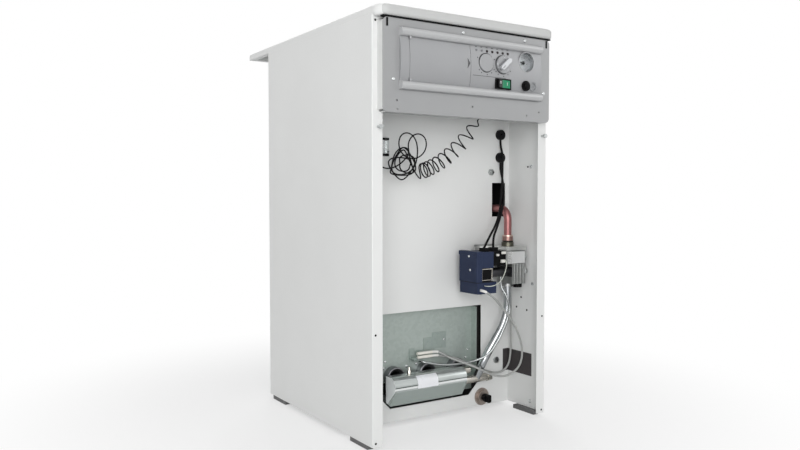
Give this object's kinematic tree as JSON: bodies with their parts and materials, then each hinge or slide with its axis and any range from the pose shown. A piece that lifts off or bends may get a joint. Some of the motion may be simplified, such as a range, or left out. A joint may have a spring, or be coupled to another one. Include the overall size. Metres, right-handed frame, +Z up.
{
  "type": "gas boiler",
  "caption": "Floor-standing cast-iron gas boiler with its door off: hinged control console over an open bay with gas valve, burners, pipes and cords.",
  "frame": {"origin": "on the floor under the middle of the boiler's bounding box", "axes": "+Z up, front of the boiler towards -Y, +X to the right seen from the front"},
  "size_m": [0.46, 0.7086, 0.875],
  "materials": {
    "white_enamel": "satin",
    "fascia_grey": "satin",
    "dark_grey": "matt",
    "zinc": "satin",
    "galvanised": "spangled",
    "console_grey": "fine grain",
    "black_plastic": "fine grain",
    "grey_plastic": "fine grain",
    "navy_plastic": "fine grain",
    "switch_green": "gloss",
    "lamp_lens": "gloss",
    "dial": "satin",
    "needle_black": "matt",
    "clear_glass": "polished",
    "cast_iron": "as cast",
    "steel": "satin",
    "mineral_wool": "matt",
    "flue_sheet": "satin",
    "aluminium": "as cast",
    "brass": "machined",
    "copper": "drawn",
    "chrome": "polished",
    "ceramic_white": "glazed",
    "black_rubber": "matt",
    "lead_green": "matt",
    "grey_silicone": "matt"
  },
  "bodies": {
    "cabinet": {"left_side_panel": "white_enamel", "right_side_panel": "white_enamel", "feet": "dark_grey", "top_cover": "white_enamel", "door_studs": "zinc", "front_bulkhead": "white_enamel", "back_panel": "zinc", "base_tray": "zinc", "control_fascia": "fascia_grey", "fascia_screws": "zinc", "control_box": "zinc", "console_frame": "console_grey", "control_thermostat": "steel", "blanking_disc": "console_grey", "gauge_case": "dial", "gauge_glass": "clear_glass", "switch_housing": "black_plastic", "safety_thermostat": "black_plastic", "fuse_holder": "grey_plastic", "indicator_lamps": "lamp_lens", "cast_sections": "cast_iron", "section_fixings": "steel", "insulation_jacket": "mineral_wool", "flue_collector": "flue_sheet", "draught_hood": "flue_sheet", "flue_spigot": "flue_sheet", "water_pipes": "steel", "burner_shield": "galvanised", "inspection_plate": "galvanised", "burner_bars": "steel", "gas_manifold": "brass", "manifold_guard": "galvanised", "pilot_burner": "steel", "electrodes": "ceramic_white", "gas_valve_body": "aluminium", "regulator_cap": "black_plastic", "ignition_controller": "navy_plastic", "valve_coils": "black_plastic", "cable_plugs": "black_plastic", "gas_inlet_pipe": "copper", "inlet_union": "brass", "drain_cock": "brass", "grommets": "black_rubber", "bulkhead_nuts": "zinc", "cord_clip": "zinc", "corner_liner": "black_rubber", "burner_supply_pipe": "chrome", "pilot_tube": "aluminium", "valve_cables": "black_rubber", "electrode_leads": "grey_silicone", "earth_lead": "lead_green", "sensor_cord_curl": "black_rubber", "sensor_cord_hank": "black_rubber"},
    "console_flap": {"console_flap": "console_grey"},
    "temperature_knob": {"temperature_knob": "console_grey"},
    "switch_rocker": {"switch_rocker": "switch_green"},
    "gauge_needle": {"gauge_needle": "needle_black"},
    "reset_button": {"reset_button": "black_plastic"},
    "drain_knob": {"drain_knob": "black_plastic"}
  },
  "joints": [
    {"name": "flap_hinge", "type": "hinge", "parent": "cabinet", "child": "console_flap", "pos_m": [-0.1585, -0.3382, 0.7745], "axis": [0, 0, -1], "range_deg": [0, 105]},
    {"name": "knob_turn", "type": "hinge", "parent": "cabinet", "child": "temperature_knob", "pos_m": [0.076, -0.3427, 0.784], "axis": [0, 1, 0], "range_deg": [-135, 135]},
    {"name": "rocker_pivot", "type": "hinge", "parent": "cabinet", "child": "switch_rocker", "pos_m": [0.078, -0.3352, 0.7435], "axis": [0, 0, 1], "range_deg": [-18, 0]},
    {"name": "needle_turn", "type": "hinge", "parent": "cabinet", "child": "gauge_needle", "pos_m": [0.1435, -0.3267, 0.7955], "axis": [0, 1, 0], "range_deg": [-30, 190]},
    {"name": "reset_slide", "type": "slide", "parent": "cabinet", "child": "reset_button", "axis": [0, 1, 0], "range_m": [0, 0.003], "stiffness_N_per_m": 400, "springref_m": -0.001},
    {"name": "drain_turn", "type": "hinge", "parent": "cabinet", "child": "drain_knob", "pos_m": [0.147, -0.2057, 0.03], "axis": [0, -1, 0], "range_deg": [0, 360]}
  ]
}
